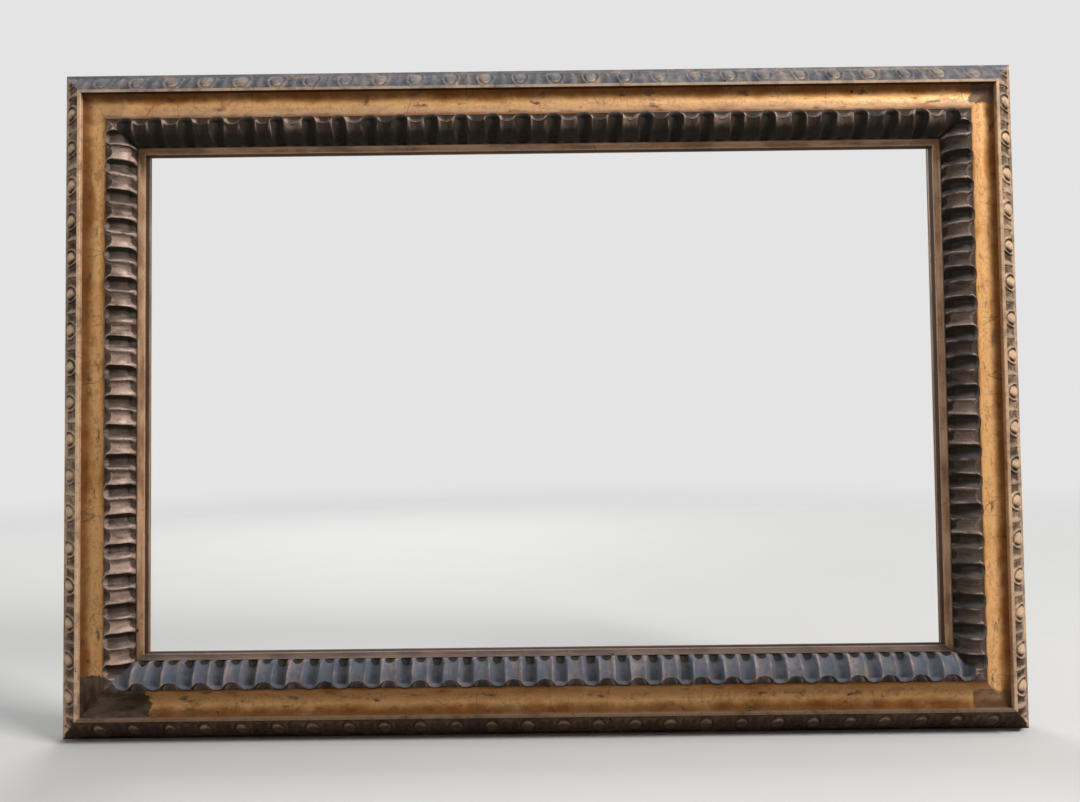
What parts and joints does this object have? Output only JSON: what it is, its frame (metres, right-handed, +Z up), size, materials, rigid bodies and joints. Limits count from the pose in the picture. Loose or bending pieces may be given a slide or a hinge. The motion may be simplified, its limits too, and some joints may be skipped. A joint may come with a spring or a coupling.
{
  "type": "picture frame",
  "caption": "Wide carved and gilded picture frame: fluted gadroons round the opening, a plain hollow and an egg-and-dart outer band, on a lapped back frame with ring hangers.",
  "frame": {"origin": "middle of the lower edge of the back, in the plane that lies against the wall", "axes": "+X across the frame to the right seen from the front, +Z up, +Y out of the back towards the wall"},
  "size_m": [1.197, 0.074, 0.832],
  "materials": {
    "back_wood": "bare aged poplar",
    "carved_band": "worn gilding over bole, toned dark",
    "cove_gilding": "worn water gilding",
    "gadroon_gilding": "rubbed gilding with dark patina",
    "sight_gilding": "water gilding",
    "peg_wood": "split hardwood",
    "nail_iron": "forged, rusted",
    "hanger_brass": "dull brass",
    "button_brass": "dull brass",
    "screw_steel": "dull steel"
  },
  "bodies": {
    "frame": {"back_rail_top": "back_wood", "back_rail_bottom": "back_wood", "back_stile_left": "back_wood", "back_stile_right": "back_wood", "outer_moulding_top": "carved_band", "outer_moulding_bottom": "carved_band", "outer_moulding_left": "carved_band", "outer_moulding_right": "carved_band", "cove_moulding_top": "cove_gilding", "cove_moulding_bottom": "cove_gilding", "cove_moulding_left": "cove_gilding", "cove_moulding_right": "cove_gilding", "gadroon_moulding_top": "gadroon_gilding", "gadroon_moulding_bottom": "gadroon_gilding", "gadroon_moulding_left": "gadroon_gilding", "gadroon_moulding_right": "gadroon_gilding", "sight_moulding_top": "sight_gilding", "sight_moulding_bottom": "sight_gilding", "sight_moulding_left": "sight_gilding", "sight_moulding_right": "sight_gilding", "lap_pegs": "peg_wood", "moulding_nails": "nail_iron", "hanger_strap_left": "hanger_brass", "hanger_strap_right": "hanger_brass", "hanger_screws": "screw_steel", "turn_button_screws": "screw_steel"},
    "hanger_ring_left": {"hanger_ring_left": "hanger_brass"},
    "hanger_ring_right": {"hanger_ring_right": "hanger_brass"},
    "turn_button_top_left": {"turn_button_top_left": "button_brass"},
    "turn_button_bottom_left": {"turn_button_bottom_left": "button_brass"},
    "turn_button_top_right": {"turn_button_top_right": "button_brass"},
    "turn_button_bottom_right": {"turn_button_bottom_right": "button_brass"},
    "turn_button_left_lower": {"turn_button_left_lower": "button_brass"},
    "turn_button_right_lower": {"turn_button_right_lower": "button_brass"},
    "turn_button_left_upper": {"turn_button_left_upper": "button_brass"},
    "turn_button_right_upper": {"turn_button_right_upper": "button_brass"}
  },
  "joints": [
    {"name": "hanger_ring_left_swing", "type": "hinge", "parent": "frame", "child": "hanger_ring_left", "pos_m": [-0.545, 0.0035, 0.62], "axis": [1, 0, 0], "range_deg": [0, 180]},
    {"name": "hanger_ring_right_swing", "type": "hinge", "parent": "frame", "child": "hanger_ring_right", "pos_m": [0.545, 0.0035, 0.62], "axis": [1, 0, 0], "range_deg": [0, 180]},
    {"name": "turn_button_top_left_turn", "type": "hinge", "parent": "frame", "child": "turn_button_top_left", "pos_m": [-0.28, 0, 0.7435], "axis": [0, 1, 0], "continuous": true},
    {"name": "turn_button_bottom_left_turn", "type": "hinge", "parent": "frame", "child": "turn_button_bottom_left", "pos_m": [-0.28, 0, 0.0885], "axis": [0, 1, 0], "continuous": true},
    {"name": "turn_button_top_right_turn", "type": "hinge", "parent": "frame", "child": "turn_button_top_right", "pos_m": [0.28, 0, 0.7435], "axis": [0, 1, 0], "continuous": true},
    {"name": "turn_button_bottom_right_turn", "type": "hinge", "parent": "frame", "child": "turn_button_bottom_right", "pos_m": [0.28, 0, 0.0885], "axis": [0, 1, 0], "continuous": true},
    {"name": "turn_button_left_lower_turn", "type": "hinge", "parent": "frame", "child": "turn_button_left_lower", "pos_m": [-0.51, 0, 0.266], "axis": [0, 1, 0], "continuous": true},
    {"name": "turn_button_right_lower_turn", "type": "hinge", "parent": "frame", "child": "turn_button_right_lower", "pos_m": [0.51, 0, 0.266], "axis": [0, 1, 0], "continuous": true},
    {"name": "turn_button_left_upper_turn", "type": "hinge", "parent": "frame", "child": "turn_button_left_upper", "pos_m": [-0.51, 0, 0.566], "axis": [0, 1, 0], "continuous": true},
    {"name": "turn_button_right_upper_turn", "type": "hinge", "parent": "frame", "child": "turn_button_right_upper", "pos_m": [0.51, 0, 0.566], "axis": [0, 1, 0], "continuous": true}
  ]
}
